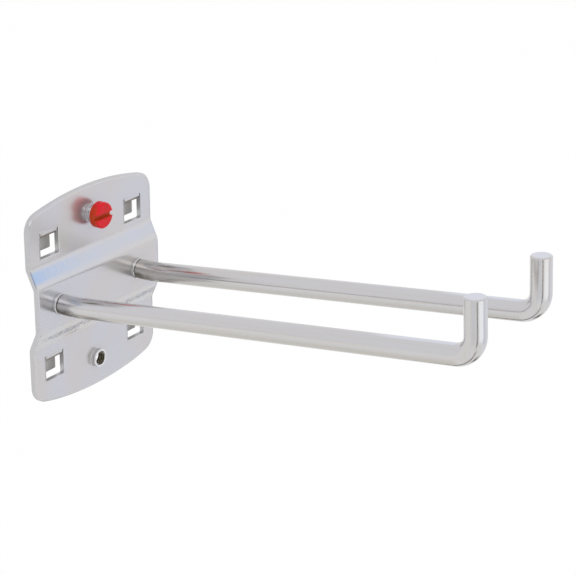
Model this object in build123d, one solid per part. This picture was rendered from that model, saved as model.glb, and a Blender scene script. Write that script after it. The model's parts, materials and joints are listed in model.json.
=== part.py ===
from build123d import *
import math
import os

# A double tool hook for a square-hole panel, in millimetres.
# X runs to the right as seen from the room, the bars reach out along -Y, Z is up.
# The origin is the middle of the back plate, in the plane that touches the panel,
# level with the feet of the two bars.

# Panel that the hook hangs on
raster = 38.0                # spacing of the square holes, across and up
panel_gap = 1.5              # room behind the plate for the panel's sheet

# Pressed back plate
sheet = 1.5                  # thickness of the sheet
plate_width = 55.8
plate_height = 63.4          # over the tops of both arched edges
plate_drop = 0.7             # how far the plate's middle lies below the bars' feet
edge_arc = 107.0             # radius of the arched top and bottom edges
corner_radius = 5.5
edge_break = 0.25            # bevel that tumbling leaves on the front edge
band_raise = 2.7             # how far the middle band stands forward
band_height = 13.0           # flat part of the middle band
slope_height = 5.8           # each slope between the band and a flange
press_radius = 2.0           # inside radius of the four pressed bends

# Windows and the hooks bent out of them
window_width = 7.9
window_height = 7.7          # cut height, which is a hook's length when flat
window_lift = 3.2            # a window's top edge above its place on the raster
window_corner = 0.4
hook_side_gap = 0.4          # cut beside each hook
hook_radius = 0.6            # inside radius of both bends of a hook
neutral_share = 0.35         # depth in the sheet, from inside a bend, that keeps its length
hook_end_chamfer = 0.3

# Pulled collars with their threaded bores
collar_offset = 23.0         # above and below the plate's middle
collar_height = 1.7
collar_radius = 2.75
collar_foot = 0.3            # hollow rounding where the collar leaves the sheet
rim_break = 0.2
bore_radius = 2.1            # core of the thread
bore_entry = 0.5             # bevel of the bore at the panel side

# Round bars
bar_diameter = 6.0
bar_spacing = 36.0
bar_reach = 139.0            # from the panel to the corner of the turned-up end, on its axis
bar_rise = 7.0               # degrees that the bars climb towards their ends
bar_level = 5.0              # length of the level stretch before the climb
knee_radius = 40.0
tip_height = 15.9            # turned-up end, above the bar's axis there
tip_lean = 3.0               # degrees that the turned-up ends lean back to the plate
tip_bend = 6.0               # radius of that bend, at the bar's axis
tip_chamfer = 0.35

# Foot, spigot and rivet of each bar
spigot_diameter = 4.6
spigot_clearance = 0.03
foot_lip = 0.25              # how far the foot ring stands out from the bar
foot_height = 0.45
foot_round = 0.15
groove_depth = 0.25
groove_width = 0.5
rivet_lip = 1.2              # how far the rivet's head stands out from the bar
rivet_gap = 0.4              # between the rivet's crown and the panel
rivet_rim = 0.8              # straight rim of the rivet's head

# Locking screw in the upper collar
screw_clearance = 0.06
screw_head_diameter = 7.8
screw_head_length = 2.9
screw_gap = 0.5              # between the head and the collar's rim at rest
screw_tip_inset = 0.4        # from the tip to the panel
screw_break = 0.45
slot_width = 1.6
slot_depth = 1.3

flange_front = -sheet
press_depth = band_raise + sheet
band_back = -band_raise
band_front = -press_depth
collar_rim = flange_front - collar_height
hook_width = window_width - 2 * hook_side_gap


def left_normal(start, end):
    """Unit vector to the left of the way from start to end."""
    run = end[0] - start[0]
    rise = end[1] - start[1]
    length = math.hypot(run, rise)
    return (-rise / length, run / length)


def mitred(points, distance):
    """A bent line shifted to its left by a distance, with sharp corners."""
    normals = [left_normal(a, b) for a, b in zip(points, points[1:])]
    before = [normals[0]] + normals
    after = normals + [normals[-1]]
    shifted = []
    for point, first, second in zip(points, before, after):
        lean = (first[0] + second[0], first[1] + second[1])
        reach = 2 * distance / (lean[0] ** 2 + lean[1] ** 2)
        shifted.append((point[0] + lean[0] * reach, point[1] + lean[1] * reach))
    return shifted


def bent_sheet(points, turns, inside_radius, width):
    """A strip of sheet across X whose right-hand face follows points in Y and Z.

    turns has +1 where the line turns left and -1 where it turns right.
    """
    outside_radius = inside_radius + sheet
    right_radii = [outside_radius if turn > 0 else inside_radius for turn in turns]
    left_radii = [inside_radius if turn > 0 else outside_radius for turn in turns]
    with BuildSketch(Plane.YZ) as section:
        with BuildLine():
            right_side = FilletPolyline(*points, radius=right_radii)
            left_side = FilletPolyline(*mitred(points, sheet), radius=left_radii)
            Line(right_side @ 0, left_side @ 0)
            Line(right_side @ 1, left_side @ 1)
        make_face()
    return extrude(section.sketch, amount=width / 2, both=True)


def plate_outline():
    """The plate's outline as seen from the front, arched above and below."""
    side = plate_width / 2
    top = plate_height / 2
    shoulder = top - edge_arc + math.sqrt(edge_arc ** 2 - side ** 2)
    with BuildSketch(Plane.XZ) as outline:
        with BuildLine():
            ThreePointArc((-side, shoulder), (0, top), (side, shoulder))
            Line((side, shoulder), (side, -shoulder))
            ThreePointArc((side, -shoulder), (0, -top), (-side, -shoulder))
            Line((-side, -shoulder), (-side, shoulder))
        make_face()
        fillet(outline.vertices(), corner_radius)
    return outline.sketch


def pressed_sheet():
    """The sheet with its raised band and its bevelled front rim."""
    band_edge = band_height / 2
    slope_end = band_edge + slope_height
    sheet_end = plate_height / 2 + plate_drop + sheet
    back_line = [
        (0, -sheet_end),
        (0, -slope_end),
        (band_back, -band_edge),
        (band_back, band_edge),
        (0, slope_end),
        (0, sheet_end),
    ]
    strip = bent_sheet(back_line, (1, -1, -1, 1), press_radius, plate_width + 2 * sheet)
    prism = extrude(plate_outline(), amount=2 * press_depth, both=True)
    plate = strip & (Pos(0, 0, -plate_drop) * prism)
    front = plate.faces().filter_by(lambda face: face.normal_at().Y < -0.5)
    rim = [edge for edge in front.edges() if not along_bend(edge) or on_arch(edge)]
    return chamfer(rim, edge_break)


def along_bend(edge):
    """True for an edge that runs along X at its middle, as the pressed bends do."""
    return abs(edge.tangent_at(0.5).X) > 0.999


def on_arch(edge):
    """True for the arched top and bottom edges."""
    return abs((edge @ 0.5).Z + plate_drop) > plate_height / 2 - 2 * sheet


def window_tops():
    """X and top height of the four windows."""
    half = raster / 2
    for x in (-half, half):
        for z in (-half, half):
            yield x, z + window_lift


def window_cut(x, top):
    """The punched hole of one window."""
    with BuildSketch(Plane.XZ) as hole:
        with Locations((x, top - window_height / 2)):
            Rectangle(window_width, window_height)
        fillet(hole.vertices().group_by(Axis.Y)[0], window_corner)
    return extrude(hole.sketch, amount=2 * sheet, both=True)


def panel_hook(x, top):
    """One hook: bent back out of the window's top edge, then down behind the panel."""
    both_bends = math.pi * (hook_radius + neutral_share * sheet)
    straight = panel_gap - 2 * hook_radius
    leg = window_height - both_bends - straight
    underside = top - hook_radius - sheet
    leg_top = underside - hook_radius
    front_line = [
        (flange_front, top + sheet),
        (flange_front, underside),
        (panel_gap, underside),
        (panel_gap, leg_top - leg),
    ]
    hook = bent_sheet(front_line, (1, -1), hook_radius, hook_width)
    tip = hook.faces().sort_by(Axis.Z)[0]
    hook = chamfer(tip.edges().filter_by(Axis.Y), hook_end_chamfer)
    return Pos(x, 0, 0) * hook


def collar_blank(z):
    """The rim pulled forward out of the sheet, before its bore is cut."""
    lean = collar_foot * (1 - math.sqrt(0.5))
    foot = (flange_front, collar_radius + collar_foot)
    hollow = (flange_front - lean, collar_radius + lean)
    wall = (flange_front - collar_foot, collar_radius)
    with BuildSketch(Plane.YZ) as section:
        with BuildLine():
            ThreePointArc(foot, hollow, wall)
            Polyline(
                wall,
                (collar_rim + rim_break, collar_radius),
                (collar_rim, collar_radius - rim_break),
                (collar_rim, 0),
                (0, 0),
                (0, collar_radius + collar_foot),
                foot,
            )
        make_face()
    return Pos(0, 0, z) * revolve(section.sketch, Axis.Y)


def collar_bore(z):
    """The bore through sheet and collar, bevelled at both ends."""
    outside = collar_rim - sheet
    with BuildSketch(Plane.YZ) as section:
        with BuildLine():
            Polyline(
                (sheet, 0),
                (sheet, bore_radius + bore_entry),
                (0, bore_radius + bore_entry),
                (-bore_entry, bore_radius),
                (collar_rim + rim_break, bore_radius),
                (collar_rim, bore_radius + rim_break),
                (outside, bore_radius + rim_break),
                (outside, 0),
                close=True,
            )
        make_face()
    return Pos(0, 0, z) * revolve(section.sketch, Axis.Y)


def back_plate():
    """The pressed plate with its windows, hooks, collars and bar holes."""
    plate = pressed_sheet()
    for x, top in window_tops():
        plate -= window_cut(x, top)
    for x, top in window_tops():
        plate += panel_hook(x, top)
    for offset in (-collar_offset, collar_offset):
        plate += collar_blank(offset - plate_drop)
        plate -= collar_bore(offset - plate_drop)
    hole_radius = spigot_diameter / 2 + spigot_clearance
    for side in (-1, 1):
        hole = Cylinder(hole_radius, 2 * press_depth, rotation=(90, 0, 0))
        plate -= Pos(side * bar_spacing / 2, band_back, 0) * hole
    return plate


def bar_root():
    """Rivet head, spigot, foot ring and groove, turned about the bar's axis."""
    bar = bar_diameter / 2
    spigot = spigot_diameter / 2
    foot = bar + foot_lip
    head = bar + rivet_lip
    foot_front = band_front - foot_height
    groove = bar - groove_depth
    rim_end = band_back + rivet_rim
    crown_rise = -rivet_gap - rim_end
    dome = (head ** 2 + crown_rise ** 2) / (2 * crown_rise)
    half_angle = math.asin(head / dome) / 2
    shoulder = (-rivet_gap - dome * (1 - math.cos(half_angle)), dome * math.sin(half_angle))
    with BuildSketch(Plane.YZ) as section:
        with BuildLine():
            ThreePointArc((-rivet_gap, 0), shoulder, (rim_end, head))
            Polyline(
                (rim_end, head),
                (band_back, head),
                (band_back, spigot),
                (band_front, spigot),
                (band_front, foot),
                (foot_front + foot_round, foot),
                (foot_front, foot - foot_round),
                (foot_front, groove),
                (foot_front - groove_width / 2, groove),
                (foot_front - groove_width, bar),
                (foot_front - groove_width, 0),
                (-rivet_gap, 0),
            )
        make_face()
    return revolve(section.sketch, Axis.Y)


def bar_rod():
    """The round bar from its foot groove to its turned-up end."""
    start = band_front - foot_height - groove_width
    level_end = band_front - bar_level
    climb = (bar_reach + level_end) * math.tan(math.radians(bar_rise))
    tip_back = tip_height * math.tan(math.radians(tip_lean))
    with BuildLine(Plane.YZ) as path:
        FilletPolyline(
            (start, 0),
            (level_end, 0),
            (-bar_reach, climb),
            (tip_back - bar_reach, climb + tip_height),
            radius=[knee_radius, tip_bend],
        )
    with BuildSketch(Plane((0, start, 0), x_dir=(1, 0, 0), z_dir=(0, -1, 0))) as section:
        Circle(bar_diameter / 2)
    rod = sweep(section.sketch, path=path.wires()[0])
    top = rod.faces().sort_by(Axis.Z)[-1]
    return chamfer(top.edges(), tip_chamfer)


def bar(side):
    """One bar, riveted into the band on the given side of the middle."""
    return Pos(side * bar_spacing / 2, 0, 0) * (bar_root() + bar_rod())


def locking_screw():
    """The moulded screw with its slotted head, in front of the upper collar."""
    shank = bore_radius - screw_clearance
    head = screw_head_diameter / 2
    head_back = collar_rim - screw_gap
    head_front = head_back - screw_head_length
    tip = -screw_tip_inset
    with BuildSketch(Plane.YZ) as section:
        with BuildLine():
            Polyline(
                (tip, 0),
                (tip, shank - screw_break),
                (tip - screw_break, shank),
                (head_back, shank),
                (head_back, head - screw_break / 2),
                (head_back - screw_break / 2, head),
                (head_front + screw_break, head),
                (head_front, head - screw_break),
                (head_front, 0),
                close=True,
            )
        make_face()
    screw = revolve(section.sketch, Axis.Y)
    slot = Box(2 * screw_head_diameter, 2 * slot_depth, slot_width)
    screw -= Pos(0, head_front, 0) * slot
    return Pos(0, 0, collar_offset - plate_drop) * screw


def main():
    """Write one file for each piece."""
    os.makedirs("parts", exist_ok=True)
    pieces = {
        "back_plate": back_plate(),
        "left_bar": bar(-1),
        "right_bar": bar(1),
        "locking_screw": locking_screw(),
    }
    for name, piece in pieces.items():
        export_step(piece, f"parts/{name}.step")
        print(name, round(piece.volume, 2), piece.is_valid)


main()
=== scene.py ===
# %% [markdown]
# # A double tool hook for a perforated panel
#
# The real hook is a pressed steel plate with two round bars riveted into it, all bright zinc,
# and a moulded red screw that locks it to its panel.
# The solids come from the packed model and stay where they are.
# This script gives them their finishes, adds the two screw threads that the solids leave
# out, and sets up the floor, the light and the camera.

# %% Load the frame
import json
import math

import bpy
from mathutils import Matrix, Vector


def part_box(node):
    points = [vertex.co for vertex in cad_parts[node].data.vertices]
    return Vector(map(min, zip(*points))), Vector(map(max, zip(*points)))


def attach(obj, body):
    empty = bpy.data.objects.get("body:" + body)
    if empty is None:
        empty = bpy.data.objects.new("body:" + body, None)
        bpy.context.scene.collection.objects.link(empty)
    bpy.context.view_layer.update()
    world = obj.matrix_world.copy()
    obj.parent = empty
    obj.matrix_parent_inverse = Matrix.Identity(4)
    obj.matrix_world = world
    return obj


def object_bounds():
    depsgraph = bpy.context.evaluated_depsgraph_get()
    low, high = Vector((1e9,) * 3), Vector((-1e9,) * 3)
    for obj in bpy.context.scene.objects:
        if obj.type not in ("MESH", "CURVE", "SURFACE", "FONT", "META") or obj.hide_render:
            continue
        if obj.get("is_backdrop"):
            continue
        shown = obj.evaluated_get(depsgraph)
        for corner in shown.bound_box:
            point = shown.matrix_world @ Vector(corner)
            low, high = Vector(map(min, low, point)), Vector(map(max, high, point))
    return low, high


MM = 0.001

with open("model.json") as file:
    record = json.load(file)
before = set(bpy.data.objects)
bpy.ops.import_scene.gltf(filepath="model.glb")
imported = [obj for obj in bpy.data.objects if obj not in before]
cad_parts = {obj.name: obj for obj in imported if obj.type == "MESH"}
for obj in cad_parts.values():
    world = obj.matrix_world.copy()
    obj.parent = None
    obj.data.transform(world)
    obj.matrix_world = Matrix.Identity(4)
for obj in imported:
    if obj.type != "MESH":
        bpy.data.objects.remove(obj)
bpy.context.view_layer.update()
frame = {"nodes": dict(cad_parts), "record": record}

# %% [markdown]
# ## Writing node trees as expressions
#
# A finish is a sum of masks and grains, and it reads best when it is written like one.
# The nodes could be wired one by one, but that hides the formula. So a Signal wraps an
# output socket, and a sum or a product of Signals adds the Math nodes for it.

# %% A value in a node tree
class Signal:
    """A value on its way through a node tree."""

    def __init__(self, recipe, socket):
        self.recipe = recipe
        self.socket = socket

    def __add__(self, other):
        return self.recipe.maths("ADD", self, other)

    def __sub__(self, other):
        return self.recipe.maths("SUBTRACT", self, other)

    def __rsub__(self, other):
        return self.recipe.maths("SUBTRACT", other, self)

    def __mul__(self, other):
        return self.recipe.maths("MULTIPLY", self, other)

    __radd__ = __add__
    __rmul__ = __mul__


print("A Signal can be added, subtracted and multiplied")

# %% [markdown]
# ### One method for every node
#
# Everything else comes from one method, which makes a node from its type, its settings and
# what goes into its sockets. Settings come first, because some of them change the sockets.
# The other helpers stand on it: soft steps, masks, laid-over colours, noise and places.

# %% The node helpers
class Recipe:
    """Builds one node tree."""

    def __init__(self, tree):
        self.tree = tree

    def node(self, kind, settings=None, inputs=None, output=0):
        """Makes a node and returns the Signal of one of its outputs, if it has any."""
        made = self.tree.nodes.new(kind)
        for name, value in (settings or {}).items():
            setattr(made, name, value)
        for name, value in (inputs or {}).items():
            self.feed(made.inputs[name], value)
        return Signal(self, made.outputs[output]) if len(made.outputs) else None

    def feed(self, socket, value):
        """Links a Signal into a socket, or sets the socket to a plain value."""
        if isinstance(value, Signal):
            self.tree.links.new(value.socket, socket)
        else:
            socket.default_value = value

    def maths(self, operation, first, second=0.0):
        return self.node("ShaderNodeMath", {"operation": operation}, {0: first, 1: second})

    def size_of(self, signal):
        """A value without its sign."""
        return self.maths("ABSOLUTE", signal)

    def spread(self, signal, low, high):
        """0 below low, 1 above high, and a smooth step between."""
        settings = {"interpolation_type": "SMOOTHSTEP"}
        return self.node("ShaderNodeMapRange", settings, {0: signal, 1: low, 2: high})

    def under(self, signal, low, high):
        """1 below low, 0 above high, and a smooth step between."""
        return 1.0 - self.spread(signal, low, high)

    def within(self, signal, middle, reach, soft):
        """1 where a signal is within reach of a middle value, fading out over a soft edge."""
        return self.under(self.size_of(signal - middle), reach, reach + soft)

    def mix(self, factor, first, second):
        """A colour between two colours."""
        inputs = {0: factor, 6: first, 7: second}
        return self.node("ShaderNodeMix", {"data_type": "RGBA"}, inputs, output=2)

    def cover(self, colour, layers):
        """A colour with others laid over it, each where its mask is."""
        for mask, layer in layers:
            colour = self.mix(mask, colour, layer)
        return colour

    def total(self, base, shares):
        """A number, and to it each mask times its share."""
        for mask, share in shares:
            base = base + mask * share
        return base

    def place(self, size=(1.0, 1.0, 1.0), tilt=0.0):
        """The piece's own coordinates in metres, with a pattern drawn longer along its axes.

        tilt turns those axes about X, in degrees.
        """
        here = self.node("ShaderNodeTexCoord", output="Object")
        inputs = {"Vector": here, "Rotation": (math.radians(tilt), 0.0, 0.0), "Scale": size}
        return self.node("ShaderNodeMapping", {"vector_type": "TEXTURE"}, inputs)

    def grain(self, scale, detail=2.0, **drawn):
        """Noise between 0 and 1, with so many grains to the metre."""
        inputs = {"Vector": self.place(**drawn), "Scale": scale, "Detail": detail}
        return self.node("ShaderNodeTexNoise", inputs=inputs)

    def blotches(self, low, high, **pattern):
        """Noise with more contrast: 0 where the grain is below low, 1 where above high."""
        return self.spread(self.grain(**pattern), low, high)

    def axes(self, source="Object"):
        """Object gives the place on the piece in metres, Normal the way its surface faces."""
        vector = self.node("ShaderNodeTexCoord", output=source)
        split = self.node("ShaderNodeSeparateXYZ", inputs={0: vector})
        return [Signal(self, socket) for socket in split.socket.node.outputs]


print("A Recipe has", [name for name in vars(Recipe) if not name.startswith("_")])

# %% [markdown]
# ### From a recipe to a material
#
# All three finishes end in the same way: a Principled shader whose surface is roughened by
# a bump. Fine scratches and rolled edges could be modelled, but a bump is far lighter and
# looks the same at this size. Its height is given in millimetres.

# %% The material helpers
def new_material(name):
    """An empty material and the Recipe that fills it."""
    material = bpy.data.materials.new(name)
    material.use_nodes = True
    material.node_tree.nodes.clear()
    return material, Recipe(material.node_tree)


def finish_material(recipe, shader):
    """Ends a material's tree in its surface output."""
    recipe.node("ShaderNodeOutputMaterial", inputs={"Surface": shader})


def finish_solid(recipe, height, sockets):
    """Ends a material in a Principled shader over a bump, whose height is in millimetres."""
    inputs = {"Strength": 1.0, "Distance": MM, "Height": height}
    sockets = {**sockets, "Normal": recipe.node("ShaderNodeBump", inputs=inputs)}
    finish_material(recipe, recipe.node("ShaderNodeBsdfPrincipled", inputs=sockets))


def opaque(red, green, blue):
    """A colour with full alpha, as the sockets want it."""
    return (red, green, blue, 1.0)


finishes = {}
print("A bump of height 1 is", MM, "m high")

# %% [markdown]
# ## Bright zinc on the pressed plate
#
# The sheet is rolled, punched, pressed and then plated, so it mirrors what is near it, a
# little blurred, under a faint milky veil. Its tint drifts, and light and shade are also
# painted into its colour: a painted blue reflection on the upper slope, painted grey shade
# on the lower one, painted shade on the hooks, round the collars and in the bore, and painted
# highlights on the collars and the thread's crests. These marks follow the shape, so each is
# a mask on the place of a point, which needs no picture and stays sharp close up.
#
# ### The windows
#
# They lie on the raster of the panel's holes, 38 mm apart both ways, so one formula finds
# the nearest window of any point. Heights are measured from the bars' feet.

# %% Where the windows are
RASTER = 38.0 * MM
WINDOW_HALF_WIDTH = 3.95 * MM
WINDOW_HALF_HEIGHT = 3.85 * MM
WINDOW_SINK = 0.65 * MM                 # how far each window lies below its raster place


def window_distances(recipe, x, z):
    """How far a point is from the middle of the nearest window, across and up."""
    across = recipe.size_of(recipe.size_of(x) - RASTER / 2)
    sunk = z + WINDOW_SINK
    upwards = recipe.size_of(recipe.size_of(sunk) - RASTER / 2)
    return across, upwards


window_heights = [side * RASTER / 2 - WINDOW_SINK for side in (1, -1)]
print("Window middles are at", [round(height / MM, 2) for height in window_heights], "mm")

# %% [markdown]
# ### The hooks inside the windows
#
# Each hook is bent back from the top edge of its window, and only its inside shows there.
# It gets painted shade: a dark bend in the shadow of the face above a less darkened leg.
# The hooks are the same sheet as the face, so a material of their own would need them cut
# off. A mask finds them instead: inside a window's square, behind the face, and looking
# neither back, aside nor up.
# Two numbers in brackets are the start and the end of a soft step.

# %% The hooks' masks
HOOK_SIDES = (WINDOW_HALF_WIDTH + 0.1 * MM, WINDOW_HALF_WIDTH + 0.3 * MM)
HOOK_ENDS = (WINDOW_HALF_HEIGHT + 0.1 * MM, WINDOW_HALF_HEIGHT + 0.4 * MM)
HOOK_DEPTH = (-1.48 * MM, -1.1 * MM)    # just behind the face of the flange
LEG_TO_BEND = (0.2 * MM, 2.6 * MM)      # above the window's middle
TURNED_BACK = (0.0, 0.5)                # parts of a normal's length along an axis
TURNED_ASIDE = (0.5, 0.8)


def hook_shade_masks(recipe):
    """The hooks inside the windows, and the part of each that is its leg, for their painted
    shade.
    """
    x, y, z = recipe.axes()
    right, back, up = recipe.axes("Normal")
    across, upwards = window_distances(recipe, x, z)
    hook = recipe.under(across, *HOOK_SIDES) * recipe.under(upwards, *HOOK_ENDS)
    hook = hook * recipe.spread(y, *HOOK_DEPTH) * recipe.under(back, *TURNED_BACK)
    hook = hook * recipe.under(recipe.size_of(right), *TURNED_ASIDE)
    hook = hook * recipe.under(up, *TURNED_ASIDE)
    sunk = z + WINDOW_SINK
    above = sunk - recipe.maths("SIGN", sunk) * (RASTER / 2)
    return hook, recipe.under(above, *LEG_TO_BEND)


print("A hook's mask is", round(2 * HOOK_SIDES[1] / MM, 2), "mm wide")

# %% [markdown]
# ### The collars and their bores
#
# The collars are pulled out of the sheet. Each gets a painted highlight, with two thin
# rings of painted shade round it. The open bore gets painted shade, and the crests of its
# thread painted glints. All of them are round, so a mask needs only the distance from the
# nearer collar's axis and the depth.

# %% The collars' masks
COLLAR_OFFSET = 23.0 * MM               # up and down from the middle between the collars
COLLAR_SINK = 0.7 * MM                  # how far that middle lies below the bars' feet
COLLAR_WALL = (3.2 * MM, 3.35 * MM)
COLLAR_ROOT = (-1.75 * MM, -1.6 * MM)
COLLAR_RINGS = ((-2.45 * MM, 0.1 * MM), (-1.8 * MM, 0.08 * MM))    # middle and reach
RING_SOFT = 0.08 * MM
BORE_WALL = (2.42 * MM, 2.5 * MM)
BORE_MOUTH = (-3.15 * MM, -2.9 * MM)
BORE_WIDENS = 0.25 * MM                 # by so much the bore's mask is wider at its back
BORE_BACK = (-0.7 * MM, -0.5 * MM)
CREST_RADIUS = (1.95 * MM, 2.1 * MM)


def collar_masks(recipe):
    """The bores, their thread's crests, the collars' outsides and the rings on these, where
    light and shade are painted.
    """
    x, y, z = recipe.axes()
    up = recipe.size_of(z + COLLAR_SINK) - COLLAR_OFFSET
    radius = recipe.maths("SQRT", x * x + up * up)
    inner = radius - BORE_WIDENS * recipe.spread(y, *BORE_BACK)
    bore = recipe.under(inner, *BORE_WALL) * recipe.spread(y, *BORE_MOUTH)
    crest = bore * recipe.under(radius, *CREST_RADIUS)
    collar = recipe.under(radius, *COLLAR_WALL) * recipe.under(y, *COLLAR_ROOT)
    rings = [recipe.within(y, middle, reach, RING_SOFT) for middle, reach in COLLAR_RINGS]
    return bore, crest, collar, collar * (rings[0] + rings[1])


collar_heights = [side * COLLAR_OFFSET - COLLAR_SINK for side in (1, -1)]
print("Collars are at", [round(height / MM, 2) for height in collar_heights], "mm")

# %% [markdown]
# ### Rolled edges
#
# A punch drags the sheet down before it cuts, so each punched edge is slightly rounded.
# That roll catches the light as a thin line along the windows and the outline. It is too
# fine for the solids, so the bump's height follows the distance from the edge.

# %% The rolled edges
HALF_WIDTH = 27.9 * MM
EDGE_ARC = 107.0 * MM                   # radius of the plate's top and bottom edges
ARC_MIDDLES = (-76.0 * MM, 74.6 * MM)   # heights of the middles of those arcs
WINDOW_ROLL = (-0.1 * MM, 0.5 * MM)     # from the edge of a window outwards
WINDOW_ROLL_HEIGHT = 0.2
OUTLINE_ROLL = (0.1 * MM, 0.8 * MM)     # from the plate's outline inwards
OUTLINE_ROLL_HEIGHT = 0.16


def edge_distance(recipe):
    """How far a point of the face lies inside the plate's outline, corners left out."""
    x, y, z = recipe.axes()
    nearest = HALF_WIDTH - recipe.size_of(x)
    for centre in ARC_MIDDLES:
        up = z - centre
        inside = EDGE_ARC - recipe.maths("SQRT", x * x + up * up)
        nearest = recipe.maths("MINIMUM", nearest, inside)
    return nearest


def rolled_edges(recipe):
    """Height of the face in millimetres, lower along the windows and the outline."""
    x, y, z = recipe.axes()
    across, upwards = window_distances(recipe, x, z)
    beside, beyond = across - WINDOW_HALF_WIDTH, upwards - WINDOW_HALF_HEIGHT
    outside = recipe.maths("MAXIMUM", beside, beyond)
    at_windows = recipe.spread(outside, *WINDOW_ROLL) * WINDOW_ROLL_HEIGHT
    at_outline = recipe.spread(edge_distance(recipe), *OUTLINE_ROLL) * OUTLINE_ROLL_HEIGHT
    return at_windows + at_outline


edge_heights = [ARC_MIDDLES[0] + EDGE_ARC, ARC_MIDDLES[1] - EDGE_ARC]
print("The plate ends at", [round(height / MM, 2) for height in edge_heights], "mm")

# %% [markdown]
# ### Painted light on the slopes
#
# The raised band goes over into the flanges in two slopes. The upper one gets a painted
# blue reflection, deepest at the left edge and broken up by fine upright streaks beyond it.
# The lower one gets a speckled grey painted shade.
# Both marks are on the front alone. A picture would have to be fitted to the slopes, so
# the marks follow the height instead.

# %% The slopes' masks
UPPER_SLOPE = dict(middle=10.1 * MM, reach=0.9 * MM, soft=1.5 * MM)
LOWER_SLOPE = dict(middle=-9.8 * MM, reach=0.6 * MM, soft=0.5 * MM)
BLUE_FADES = (-27.0 * MM, 4.0 * MM)     # from left to right
BLUE_LEAST = 0.2
STREAKS_START = (-26.0 * MM, -21.0 * MM)
STREAK_DEPTH = 0.7
STREAK_SHAPE = (1.0, 1.0, 12.0)


def blue_reflection_mask(recipe, front):
    """Painted blue reflection on the upper slope."""
    x, y, z = recipe.axes()
    streaks = recipe.blotches(0.3, 0.65, scale=1500.0, size=STREAK_SHAPE)
    broken = 1.0 - STREAK_DEPTH * recipe.spread(x, *STREAKS_START) * streaks
    bluer = recipe.under(x, *BLUE_FADES) * broken
    depth = BLUE_LEAST + (1.0 - BLUE_LEAST) * bluer
    return recipe.within(z, **UPPER_SLOPE) * front * depth


def lower_slope_shade_mask(recipe, front, speckle):
    """Where the speckled grey painted shade lies on the lower slope."""
    z = recipe.axes()[2]
    patchy = recipe.blotches(0.3, 0.5, scale=60.0)
    return recipe.within(z, **LOWER_SLOPE) * speckle * patchy * front


print("Slopes are at", [round(at["middle"] / MM, 2) for at in (UPPER_SLOPE, LOWER_SLOPE)], "mm")

# %% [markdown]
# ### The plate's finish
#
# The colours are laid over each other in the order in which they would hide each other, from
# the drifting tint of the face to the thread's crests. A pure metal mirrors too deeply for
# zinc with its milky veil, so Metallic stays below 1 and leaves some scattered light in.
# Punched edges are rougher than the faces, and they are found by how far the surface turns
# away from the front. The flanges are a little duller than the band.

# %% Zinc on the plate
ZINC_COOL = opaque(0.595, 0.595, 0.62)
ZINC_WARM = opaque(0.61, 0.59, 0.57)
ZINC_SHEARED = opaque(0.56, 0.56, 0.57)
# Colours of painted light and shade from here on: a blue reflection, shade on the lower slope,
# the hooks, the collars' rings and the bore, a highlight on the collars and glints on the
# thread's crests.
BLUE_REFLECTION = opaque(0.40, 0.52, 0.72)
LOWER_SLOPE_SHADE = opaque(0.25, 0.26, 0.31)
HOOK_BEND_SHADE = opaque(0.20, 0.145, 0.10)
HOOK_LEG_SHADE = opaque(0.44, 0.43, 0.40)
COLLAR_HIGHLIGHT = opaque(0.86, 0.86, 0.88)
RING_SHADE = opaque(0.20, 0.19, 0.18)
BORE_SHADE = opaque(0.13, 0.105, 0.06)
CREST_GLINT = opaque(0.95, 0.94, 0.90)
FACE_ON = (0.3, 0.6)                    # part of a normal's length along Y
FLANGE_START = (11.0 * MM, 14.0 * MM)   # from the bars' feet, up and down
PLATE_BLUR = 0.18
PLATE_METALLIC = 0.72
PEEL_HEIGHT = 0.004
LOWER_SLOPE_SPECK_HEIGHT = 0.01


def plated_plate():
    material, recipe = new_material("plated_plate")
    facing = recipe.axes("Normal")[1]
    drift = recipe.blotches(0.35, 0.65, scale=70.0, detail=3.0)
    speckle = recipe.blotches(0.42, 0.6, scale=2200.0, detail=3.0)
    front = recipe.spread(0.0 - facing, *FACE_ON)
    flange = recipe.spread(recipe.size_of(recipe.axes()[2]), *FLANGE_START)
    # Masks where light and shade are painted: the hooks, the collars, the bore, the crests and
    # the lower slope.
    hook, leg = hook_shade_masks(recipe)
    bore, crest, collar, ring = collar_masks(recipe)
    sheared = recipe.under(recipe.size_of(facing), *FACE_ON) * (1.0 - collar)
    lower_slope_specks = lower_slope_shade_mask(recipe, front, speckle)
    # All layers but the sheared edges are painted light or painted shade.
    layers = [
        (blue_reflection_mask(recipe, front) * 0.9, BLUE_REFLECTION),
        (sheared * 0.8, ZINC_SHEARED),
        (lower_slope_specks * 0.9, LOWER_SLOPE_SHADE),
        (hook, recipe.mix(leg, HOOK_BEND_SHADE, HOOK_LEG_SHADE)),
        (collar * 0.8, COLLAR_HIGHLIGHT),
        (ring * 0.8, RING_SHADE),
        (bore, BORE_SHADE),
        (crest * speckle, CREST_GLINT),
    ]
    duller = [(flange, 0.06), (drift, 0.03), (sheared, 0.16)]
    duller += [(lower_slope_specks, 0.1), (bore, 0.5), (hook, 0.1)]
    peel = recipe.grain(500.0, size=(2.0, 1.0, 1.0))
    height = rolled_edges(recipe) + peel * PEEL_HEIGHT + lower_slope_specks * LOWER_SLOPE_SPECK_HEIGHT
    sockets = {
        "Base Color": recipe.cover(recipe.mix(drift, ZINC_COOL, ZINC_WARM), layers),
        "Metallic": PLATE_METALLIC,
        "Roughness": recipe.total(PLATE_BLUR, duller),
    }
    finish_solid(recipe, height, sockets)
    return material


finishes["plated_plate"] = plated_plate()
print("The plate's finish has", len(finishes["plated_plate"].node_tree.nodes), "nodes")

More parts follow.
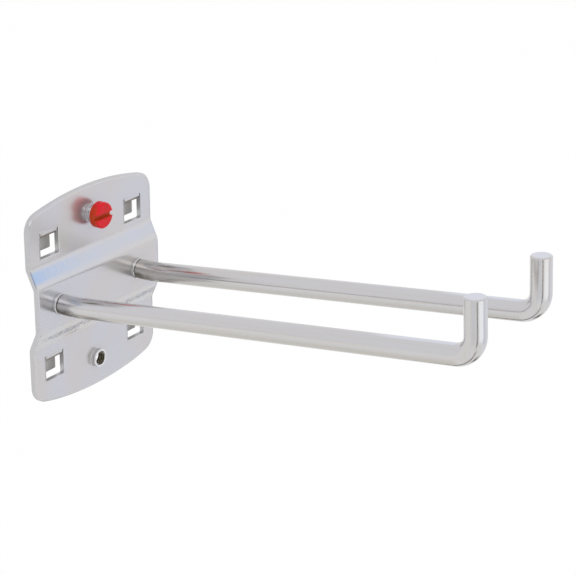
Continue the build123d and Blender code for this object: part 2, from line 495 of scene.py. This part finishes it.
# %% [markdown]
# ## Zinc on the drawn bars
#
# A bar is drawn through a die, which leaves fine lines along it, and they stay visible
# under the plating as streaks of slightly different gloss. The lines are noise that is
# stretched along the bar. Anisotropic shading could stretch the gloss too, but it gives no
# lines. Past the bend the bar runs upwards, so there the stretch changes from Y to Z.

# %% The drawing lines
BAR_RISE = 7.0                          # degrees
LINES_TO_THE_METRE = 1400.0
DRAWN_OUT = 100.0                       # how much longer than wide a line is
POST = (133.5 * MM, 135.5 * MM)         # from the panel, where the bar turns up


def drawing_lines(recipe, upright):
    """Noise along the bar, and up the post where the bar stands upright."""
    along_bar = recipe.grain(LINES_TO_THE_METRE, size=(1.0, DRAWN_OUT, 1.0), tilt=-BAR_RISE)
    along_post = recipe.grain(LINES_TO_THE_METRE, size=(1.0, 1.0, DRAWN_OUT))
    return along_bar * (1.0 - upright) + along_post * upright


print("A drawing line is about", round(DRAWN_OUT / LINES_TO_THE_METRE / MM), "mm long")

# %% [markdown]
# ### The bars' finish
#
# The underside gets painted shade in a warmer, smoky tone, and near the plate it gets a
# deeper brown painted shade. A painted highlight on the foot ring, with painted shade in the
# groove beside it, marks where the foot was staked into the plate, and the sawn ends, which
# look up, get painted light.
# As on the plate, masks on the place of a point are laid over each other. Metallic is
# higher, because a drawn bar is smoother than a pressed sheet and has less of the veil.

# %% Zinc on the bars
BAR_COOL = opaque(0.62, 0.612, 0.62)
BAR_WARM = opaque(0.61, 0.57, 0.51)
# Colours of painted light and shade: the underside, the corner at the plate and the groove are
# darkened, the foot ring and the sawn ends lightened.
BAR_UNDERSIDE_SHADE = opaque(0.47, 0.445, 0.40)
BAR_END_LIGHT = opaque(0.70, 0.71, 0.76)
BASE_SHADE = opaque(0.14, 0.12, 0.095)
FOOT_RING_HIGHLIGHT = opaque(0.70, 0.70, 0.72)
GROOVE_SHADE = opaque(0.22, 0.20, 0.18)
FOOT_LINE = dict(middle=-4.5 * MM, reach=0.13 * MM, soft=0.05 * MM)
GROOVE_LINE = dict(middle=-4.8 * MM, reach=0.1 * MM, soft=0.08 * MM)
BASE_SHADE_ENDS = (6.0 * MM, 13.0 * MM)    # from the panel
BASE_SHADE_LEAST = 0.55
LOWER_SIDE = (-0.7, 0.1)                # parts of a normal's length upwards
UNDERSIDE = (-0.3, 0.2)
END_FACE = (0.9, 0.97)
END_HEIGHT = (15.0 * MM, 16.0 * MM)
BAR_BLUR = 0.17
BAR_METALLIC = 0.9
LINE_HEIGHT = 0.004


def plated_bar():
    material, recipe = new_material("plated_bar")
    x, y, z = recipe.axes()
    up = recipe.axes("Normal")[2]
    forwards = 0.0 - y
    upright = recipe.spread(forwards, *POST)
    lines = drawing_lines(recipe, upright)
    streak = recipe.spread(lines, 0.42, 0.7)
    patch = recipe.blotches(0.4, 0.65, scale=45.0, size=(1.0, 3.0, 1.0), tilt=-BAR_RISE)
    cloud = recipe.blotches(0.35, 0.6, scale=500.0, detail=3.0)
    cloudy = BASE_SHADE_LEAST + (1.0 - BASE_SHADE_LEAST) * cloud
    # Painted shade on the underside, near the plate and in the groove beside the foot.
    underside_shade = recipe.under(up, *LOWER_SIDE) * (1.0 - upright)
    base_shade = recipe.under(forwards, *BASE_SHADE_ENDS) * recipe.under(up, *UNDERSIDE) * cloudy
    groove = recipe.within(y, **GROOVE_LINE) * recipe.blotches(0.3, 0.5, scale=900.0)
    # All these layers are painted shade or painted light.
    layers = [
        (underside_shade * 0.7, BAR_UNDERSIDE_SHADE),
        (base_shade, BASE_SHADE),
        (groove, GROOVE_SHADE),
        (recipe.within(y, **FOOT_LINE), FOOT_RING_HIGHLIGHT),
        (recipe.spread(up, *END_FACE) * recipe.spread(z, *END_HEIGHT), BAR_END_LIGHT),
    ]
    warmer = streak * 0.35 + patch * 0.3
    sockets = {
        "Base Color": recipe.cover(recipe.mix(warmer, BAR_COOL, BAR_WARM), layers),
        "Metallic": BAR_METALLIC,
        "Roughness": recipe.total(BAR_BLUR, [(streak, 0.05), (groove, 0.3)]),
    }
    finish_solid(recipe, lines * LINE_HEIGHT, sockets)
    return material


finishes["plated_bar"] = plated_bar()
print("The bars' finish has", len(finishes["plated_bar"].node_tree.nodes), "nodes")

# %% [markdown]
# ## Red plastic of the locking screw
#
# The screw is moulded, so its colour goes right through and its skin has a soft gloss
# with a faint waviness. Its red is deep, and a full specular level would wash it out to pink
# in a white studio, so that level is low. Light goes a little way into such plastic and
# comes out beside, which brightens its shaded side. A paler red could fake that, but
# subsurface scattering does it under any light.
# The slot and the left side go towards orange brown.

# %% Red plastic
RED = opaque(0.70, 0.010, 0.020)
RED_DEEP = opaque(0.60, 0.018, 0.012)
RED_SHADED = opaque(0.53, 0.06, 0.011)
SLOT_LINE = dict(middle=22.3 * MM, reach=0.82 * MM, soft=0.05 * MM)
BEHIND_HEAD_FACE = (-6.5 * MM, -6.3 * MM)
LEFT_SIDE_SHADE = 0.7
RED_BLUR = 0.38
SKIN_WAVES = 0.02


def red_plastic():
    material, recipe = new_material("red_plastic")
    cloud = recipe.grain(400.0)
    x, y, z = recipe.axes()
    leftwards = 0.0 - recipe.axes("Normal")[0]
    behind_face = recipe.spread(y, *BEHIND_HEAD_FACE)
    slot = recipe.within(z, **SLOT_LINE) * behind_face
    left_side = recipe.spread(leftwards, *TURNED_ASIDE) * behind_face
    shaded = recipe.maths("MAXIMUM", slot, left_side * LEFT_SIDE_SHADE)
    tint = recipe.mix(recipe.spread(cloud, 0.4, 0.7), RED, RED_DEEP)
    sockets = {
        "Base Color": recipe.mix(shaded, tint, RED_SHADED),
        "Roughness": RED_BLUR + cloud * 0.08,
        "Specular IOR Level": 0.2,
        "Subsurface Weight": 0.5,
        "Subsurface Radius": (1.0, 0.15, 0.1),
        "Subsurface Scale": 2.0 * MM,
    }
    finish_solid(recipe, recipe.grain(1200.0) * SKIN_WAVES, sockets)
    return material


finishes["red_plastic"] = red_plastic()
print("The screw's finish has", len(finishes["red_plastic"].node_tree.nodes), "nodes")

# %% [markdown]
# ## The solids get their finishes
#
# The finishes could be handed out by the pieces' names. But each solid comes with a slot
# that is named after its finish, so a loop over the slots does it and can't miss one.

# %% Dress the solids
for name, node in frame["nodes"].items():
    for slot in node.material_slots:
        slot.material = finishes[slot.material.name.split(".")[0]]
    print(name, "is finished in", node.material_slots[0].material.name)

# %% [markdown]
# ## Threads
#
# The collars hold an M5 thread, a ridge that climbs 0.8 mm a turn. The solids have it as a
# plain bore and a plain shank. It could be a bump, but its turns show as dots inside the
# open collar and as teeth beside the screw's head, so it is made as a real ridge.
# Geometry Nodes suit it: a spiral carries a three-sided profile, whose 60 degree corner is
# just that of the standard thread, and the same tree makes the inner and the outer thread.

# %% The thread tree
THREAD_PITCH = 0.8 * MM
THREAD_SEGMENTS = 48                    # to a turn
THREAD_CORNERS = 3
THREAD_SIZES = ("Radius", "Ridge", "Pitch", "Turns", "Crest")
LAID_DOWN = (math.pi / 2, 0.0, 0.0)


def thread_inputs(tree):
    """Gives the tree its named inputs and its output."""
    sockets = [(size, "INPUT", "NodeSocketFloat") for size in THREAD_SIZES]
    sockets.append(("Start", "INPUT", "NodeSocketVector"))
    sockets.append(("Finish", "INPUT", "NodeSocketMaterial"))
    sockets.append(("Thread", "OUTPUT", "NodeSocketGeometry"))
    for name, side, kind in sockets:
        tree.interface.new_socket(name, in_out=side, socket_type=kind)


def thread_tree():
    """A ridge that winds along -Y from its start, with its crest outwards or inwards."""
    tree = bpy.data.node_groups.new("thread_ridge", "GeometryNodeTree")
    thread_inputs(tree)
    recipe = Recipe(tree)
    given = recipe.node("NodeGroupInput").socket.node.outputs
    want = {socket.name: Signal(recipe, socket) for socket in given if socket.name}
    inputs = {
        "Resolution": THREAD_SEGMENTS,
        "Rotations": want["Turns"],
        "Start Radius": want["Radius"],
        "End Radius": want["Radius"],
        "Height": want["Pitch"] * want["Turns"],
    }
    spiral = recipe.node("GeometryNodeCurveSpiral", inputs=inputs)
    upright = recipe.node("GeometryNodeSetCurveNormal", {"mode": "Z_UP"}, {"Curve": spiral})
    inputs = {"Resolution": THREAD_CORNERS, "Radius": want["Ridge"]}
    corner = recipe.node("GeometryNodeCurvePrimitiveCircle", {"mode": "RADIUS"}, inputs)
    crest_turn = recipe.node("ShaderNodeCombineXYZ", inputs={"Z": want["Crest"]})
    inputs = {"Geometry": corner, "Rotation": crest_turn}
    turned = recipe.node("GeometryNodeTransform", inputs=inputs)
    inputs = {"Curve": upright, "Profile Curve": turned, "Fill Caps": True}
    ridge = recipe.node("GeometryNodeCurveToMesh", inputs=inputs)
    inputs = {"Geometry": ridge, "Translation": want["Start"], "Rotation": LAID_DOWN}
    placed = recipe.node("GeometryNodeTransform", inputs=inputs)
    real = recipe.node("GeometryNodeRealizeInstances", inputs={"Geometry": placed})
    inputs = {"Geometry": real, "Material": want["Finish"]}
    painted = recipe.node("GeometryNodeSetMaterial", inputs=inputs)
    recipe.node("NodeGroupOutput", inputs={"Thread": painted})
    return tree


thread = thread_tree()
print("The thread tree has", len(thread.nodes), "nodes")

# %% [markdown]
# ### From a tree to a plain mesh
#
# The tree runs as a modifier on an empty seed object. The modifier could stay live, but the
# export wants plain meshes, so its result is copied into a mesh of its own and the seed goes.
# The result then rides on its body, so that a thread moves with its screw.

# %% The thread helpers
def made_by_nodes(name, tree, sizes):
    """Runs a tree with the given sizes and returns its result as a plain mesh object."""
    seed = bpy.data.objects.new(name + "_seed", bpy.data.meshes.new(name + "_seed"))
    bpy.context.scene.collection.objects.link(seed)
    modifier = seed.modifiers.new("nodes", "NODES")
    modifier.node_group = tree
    for item in tree.interface.items_tree:
        if item.in_out == "INPUT":
            modifier[item.identifier] = sizes[item.name]
    bpy.context.view_layer.update()
    graph = bpy.context.evaluated_depsgraph_get()
    mesh = bpy.data.meshes.new_from_object(seed.evaluated_get(graph))
    bpy.data.objects.remove(seed)
    mesh.name = name
    piece = bpy.data.objects.new(name, mesh)
    bpy.context.scene.collection.objects.link(piece)
    print(name, "has", len(mesh.polygons), "faces")
    return piece


def thread_piece(name, radius, ridge, start, end, crest, finish, body):
    """One thread between two places along Y, riding on its body."""
    sizes = {
        "Radius": radius,
        "Ridge": ridge,
        "Pitch": THREAD_PITCH,
        "Turns": (start.y - end.y) / THREAD_PITCH,
        "Crest": crest,
        "Start": start,
        "Finish": finishes[finish],
    }
    piece = made_by_nodes(name, thread, sizes)
    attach(piece, body)


print("A thread of 5 turns is", round(5 * THREAD_PITCH / MM, 2), "mm long")

# %% [markdown]
# ### Where the threads sit
#
# Their places could be typed in, but measured from the screw's solid and from the record's
# threaded hole they fit by themselves.
# The screw's ridge stands on its shank, from just behind the head to the bevel at its tip.
# Most of it is inside the collar, as in the real one. The open collar has its ridge on the
# wall of the bore, over the bore's whole length. Each foot stands a little way in the metal,
# so that no gap shows under the ridge.

# %% The two threads
SHEET = 1.5 * MM
COLLAR = 1.7 * MM
HEAD_GAP = 0.5 * MM
TIP_BREAK = 0.45 * MM
OUTER_RIDGE = 0.3 * MM                  # from the middle of the profile to each corner
INNER_RIDGE = 0.2 * MM
SHANK_PLAY = 0.06 * MM
SINK = 0.06 * MM                        # how deep the foot stands in the metal
CREST_OUT = math.pi
CREST_IN = 0.0

spare = next(mount for mount in frame["record"]["mounts"] if mount["name"] == "spare_thread")
bore_radius = spare["dims"]["r_mm"] * MM
half_bore = Vector((0.0, spare["dims"]["length_mm"] * MM / 2, 0.0))
bore_centre = Vector(spare["pos_m"])
screw_low, screw_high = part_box("locking_screw")
screw_height = (screw_low.z + screw_high.z) / 2
head_back = -(SHEET + COLLAR + HEAD_GAP)

thread_piece(
    "screw_thread",
    radius=bore_radius - SHANK_PLAY + OUTER_RIDGE / 2 - SINK,
    ridge=OUTER_RIDGE,
    start=Vector((0.0, screw_high.y - TIP_BREAK - OUTER_RIDGE, screw_height)),
    end=Vector((0.0, head_back + OUTER_RIDGE, screw_height)),
    crest=CREST_OUT,
    finish="red_plastic",
    body="locking_screw",
)
thread_piece(
    "collar_thread",
    radius=bore_radius - INNER_RIDGE / 2 + SINK,
    ridge=INNER_RIDGE,
    start=bore_centre + half_bore,
    end=bore_centre - half_bore,
    crest=CREST_IN,
    finish="plated_plate",
    body="holder",
)
plate_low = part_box("back_plate")[0]
head_reach = plate_low.y - screw_low.y
print("Screw's head stands", round(head_reach / MM, 2), "mm in front of the raised band")

# %% [markdown]
# ## Floor
#
# The hook hangs clear of everything, so the floor is a plain plane well below it.
# A white background could be had by brighter lamps, but they would bleach the zinc too.
# So for the camera and for mirror images most of the floor glows plain white, and the rest
# is a matt surface that keeps the shadow.

# %% The floor
FLOOR_DROP = 0.25
FLOOR_SIZE = 12.0
FLOOR_GLOW = 0.98
WHITE = opaque(1.0, 1.0, 1.0)
FLOOR_GREYS = (opaque(0.93, 0.93, 0.93), opaque(0.95, 0.95, 0.95))


def seen_directly(recipe):
    """1 for the camera's own rays and for those that come off a shiny surface."""
    path = recipe.node("ShaderNodeLightPath").socket.node.outputs
    names = ("Is Camera Ray", "Is Glossy Ray", "Is Transmission Ray")
    rays = [Signal(recipe, path[name]) for name in names]
    return recipe.maths("MINIMUM", rays[0] + rays[1] + rays[2], 1.0)


def pale_floor():
    material, recipe = new_material("pale_floor")
    colour = recipe.mix(recipe.blotches(0.3, 0.7, scale=2.0), *FLOOR_GREYS)
    matt = recipe.node("ShaderNodeBsdfDiffuse", inputs={"Color": colour})
    glow = recipe.node("ShaderNodeEmission", inputs={"Color": WHITE, "Strength": 1.0})
    inputs = {0: seen_directly(recipe) * FLOOR_GLOW, 1: matt, 2: glow}
    finish_material(recipe, recipe.node("ShaderNodeMixShader", inputs=inputs))
    return material


bpy.ops.mesh.primitive_plane_add(size=FLOOR_SIZE, location=(0.0, 0.0, -FLOOR_DROP))
floor = bpy.context.object
floor.name = "floor"
floor.data.materials.append(pale_floor())
floor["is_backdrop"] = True
print("Floor lies", FLOOR_DROP, "m below the bars' feet")

# %% [markdown]
# ## The white cove
#
# A metal shows its surroundings, so the light is set by what stands around the hook. That
# could be a picture of a studio, but a plain one built from a few shapes can be tuned.
# The world is a white cove, a touch cool, which gives the plate its even tone.
# The camera itself sees it as plain white.

# %% The world
COVE_COLOUR = opaque(0.96, 0.965, 1.0)
COVE_LEVEL = 0.95


def white_cove():
    world = bpy.data.worlds.new("white_cove")
    world.use_nodes = True
    world.node_tree.nodes.clear()
    recipe = Recipe(world.node_tree)
    inputs = {"Color": COVE_COLOUR, "Strength": COVE_LEVEL}
    cove = recipe.node("ShaderNodeBackground", inputs=inputs)
    seen = recipe.node("ShaderNodeBackground", inputs={"Color": WHITE, "Strength": 1.0})
    camera_ray = recipe.node("ShaderNodeLightPath", output="Is Camera Ray")
    both = recipe.node("ShaderNodeMixShader", inputs={0: camera_ray, 1: cove, 2: seen})
    recipe.node("ShaderNodeOutputWorld", inputs={"Surface": both})
    return world


bpy.context.scene.world = white_cove()
print("The world is", bpy.context.scene.world.name, "at level", COVE_LEVEL)

# %% [markdown]
# ## Softboxes
#
# Three softboxes add what is brighter than the cove. The one in front makes the bright band
# down each turned-up end, the low one at the right brightens the plate's upper slope, and
# the high one adds warm light from above the camera. Spotlights would leave small hard
# glints on zinc, and a wide lamp leaves a band, as in a studio.
# Places are given as angles round the hook: azimuth 0 is straight in front, and it grows
# to the right.

# %% The softboxes
MIDDLE = Vector((0.0, -0.06, 0.0))


def direction(azimuth, elevation):
    """Unit vector from the hook towards an azimuth and an elevation, in degrees."""
    turn, lift = math.radians(azimuth), math.radians(elevation)
    flat = math.cos(lift)
    return Vector((math.sin(turn) * flat, -math.cos(turn) * flat, math.sin(lift)))


def facing_hook(azimuth, elevation, distance):
    """A place around the hook, with a turn that points its +Z at the middle."""
    towards = direction(azimuth, elevation)
    turn = (-towards).to_track_quat("Z", "Y").to_matrix().to_4x4()
    return Matrix.Translation(MIDDLE + towards * distance) @ turn


def softbox(name, placing, width, height, level, colour):
    """A rectangular lamp that faces the hook; level is its brightness, with white at 1."""
    lamp = bpy.data.lights.new(name, "AREA")
    lamp.shape = "RECTANGLE"
    lamp.size = width
    lamp.size_y = height
    lamp.energy = level * math.pi * width * height
    lamp.color = colour
    stand = bpy.data.objects.new(name, lamp)
    stand.matrix_world = placing @ Matrix.Rotation(math.pi, 4, "X")
    stand.visible_camera = False
    bpy.context.scene.collection.objects.link(stand)
    print(name, "is", width, "by", height, "m at level", level)


softbox(
    "front_softbox",
    facing_hook(azimuth=-8.0, elevation=-4.0, distance=0.62),
    width=0.42, height=0.6, level=0.36, colour=(0.86, 0.92, 1.0),
)
softbox(
    "slope_softbox",
    facing_hook(azimuth=54.0, elevation=14.0, distance=0.7),
    width=0.5, height=0.3, level=0.18, colour=(0.86, 0.93, 1.0),
)
softbox(
    "upper_softbox",
    facing_hook(azimuth=-48.0, elevation=44.0, distance=0.7),
    width=0.4, height=0.3, level=1.0, colour=(1.0, 0.97, 0.94),
)

# %% [markdown]
# ## Cards
#
# A photographer takes light away with cards, which could be real black sheets here too.
# These glow in their own tone instead, so they show in mirror images alone: the camera
# doesn't see them, and they throw no shadow.
# A dark strip beside the camera, with one on the floor below it, makes the thin dark line
# down each turned-up end and round its bend. A grey card at the left tones down the bars.
# A brown card on the floor and one beyond the camera give the warm darkness at the bars'
# feet and in the windows. A cool sheet on the floor lies where most of the plate's mirror
# image falls, and two lavender cards give the turned-up ends their lavender side.

# %% The cards
CAMERA_AZIMUTH = -56.25
CAMERA_ELEVATION = 20.99
CARD_DARK = opaque(0.05, 0.05, 0.07)
CARD_GREY = opaque(0.86, 0.88, 0.92)
CARD_BROWN = opaque(0.15, 0.115, 0.08)
CARD_COOL = opaque(0.96, 0.965, 1.03)
CARD_LAVENDER = opaque(0.80, 0.83, 0.95)
BESIDE_CAMERA = facing_hook(CAMERA_AZIMUTH + 16.0, elevation=-20.0, distance=0.5)
BEYOND_CAMERA = facing_hook(CAMERA_AZIMUTH - 6.0, CAMERA_ELEVATION, distance=0.62)
AT_THE_LEFT = facing_hook(azimuth=-78.0, elevation=-16.0, distance=0.6)


def on_floor(x, y, lift, turn=0.0):
    """A level place a little above the floor, turned about the vertical by some degrees."""
    place = Matrix.Translation(Vector((x, y, lift - FLOOR_DROP)))
    return place @ Matrix.Rotation(math.radians(turn), 4, "Z")


def card(name, placing, width, height, colour):
    """A flat card that the camera doesn't see and that throws no shadow."""
    material, recipe = new_material(name)
    glow = recipe.node("ShaderNodeEmission", inputs={"Color": colour, "Strength": 1.0})
    finish_material(recipe, glow)
    corners = [(-width / 2, -height / 2, 0.0), (width / 2, -height / 2, 0.0)]
    corners += [(width / 2, height / 2, 0.0), (-width / 2, height / 2, 0.0)]
    mesh = bpy.data.meshes.new(name)
    mesh.from_pydata([placing @ Vector(corner) for corner in corners], [], [(0, 1, 2, 3)])
    mesh.materials.append(material)
    made = bpy.data.objects.new(name, mesh)
    made.visible_camera = False
    made.visible_shadow = False
    bpy.context.scene.collection.objects.link(made)
    made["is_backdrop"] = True
    print(name, "is", width, "by", height, "m")


# Each line: the card's place, its width and height in metres, and its tone.
card("dark_strip", BESIDE_CAMERA, 0.07, 0.24, CARD_DARK)
card("dark_floor_strip", on_floor(-0.04, -0.18, 0.006, -35.5), 0.035, 0.40, CARD_DARK)
card("grey_side", AT_THE_LEFT, 0.46, 0.36, CARD_GREY)
card("brown_below", on_floor(0.13, -0.19, 0.004), 0.13, 0.08, CARD_BROWN)
card("brown_camera", BEYOND_CAMERA, 0.2, 0.2, CARD_BROWN)
card("cool_floor", on_floor(0.75, -0.25, 0.002), 0.9, 1.3, CARD_COOL)
card("lavender_front", on_floor(0.33, -0.80, 0.004, 28.0), 0.24, 0.60, CARD_LAVENDER)
card("lavender_right", on_floor(0.80, 0.10, 0.004), 0.5, 0.34, CARD_LAVENDER)

# %% [markdown]
# ## Camera
#
# The camera looks down on the hook from the left and in front. Its place could be set by
# eye, but it was found by matching corners of the plate and the ends of the bars with the
# photo. The frame is 576 pixels wide, and the lens is that of a picture taken from about
# half a metre with a long lens, which is why the bars hardly converge.

# %% The camera
FRAME_WIDTH = 576
FOCAL_PIXELS = 1800.0
SENSOR_WIDTH = 36.0
NEAREST = 0.01
FARTHEST = 50.0
CAMERA_ROLL = 0.28
CAMERA_DISTANCE = 0.537
CAMERA_TARGET = Vector((0.03244, -0.04931, -0.00110))

camera_data = bpy.data.cameras.new("camera")
camera_data.sensor_width = SENSOR_WIDTH
camera_data.lens = FOCAL_PIXELS * SENSOR_WIDTH / FRAME_WIDTH
camera_data.clip_start = NEAREST
camera_data.clip_end = FARTHEST
camera = bpy.data.objects.new("camera", camera_data)
bpy.context.scene.collection.objects.link(camera)
back = direction(CAMERA_AZIMUTH, CAMERA_ELEVATION)
right = Vector((-back.y, back.x, 0.0)).normalized()
turn = Matrix((right, back.cross(right), back)).transposed()
turn = turn @ Matrix.Rotation(math.radians(CAMERA_ROLL), 3, "Z")
place = Matrix.Translation(CAMERA_TARGET + back * CAMERA_DISTANCE)
camera.matrix_world = place @ turn.to_4x4()
bpy.context.scene.camera = camera
bpy.context.scene.view_settings.view_transform = "Standard"
print("Camera at", [round(value, 4) for value in camera.matrix_world.translation])

# %% [markdown]
# ## Sizes
#
# Blender must not change the hook's size. The box could be checked by eye in the viewport,
# but instead the box round everything except the floor and the cards is printed in millimetres.

# %% Write the sizes and finish
visual_box = [list(corner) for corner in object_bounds()]
rounded = [[round(value / MM, 2) for value in corner] for corner in visual_box]
print("Visual box in mm:", rounded)
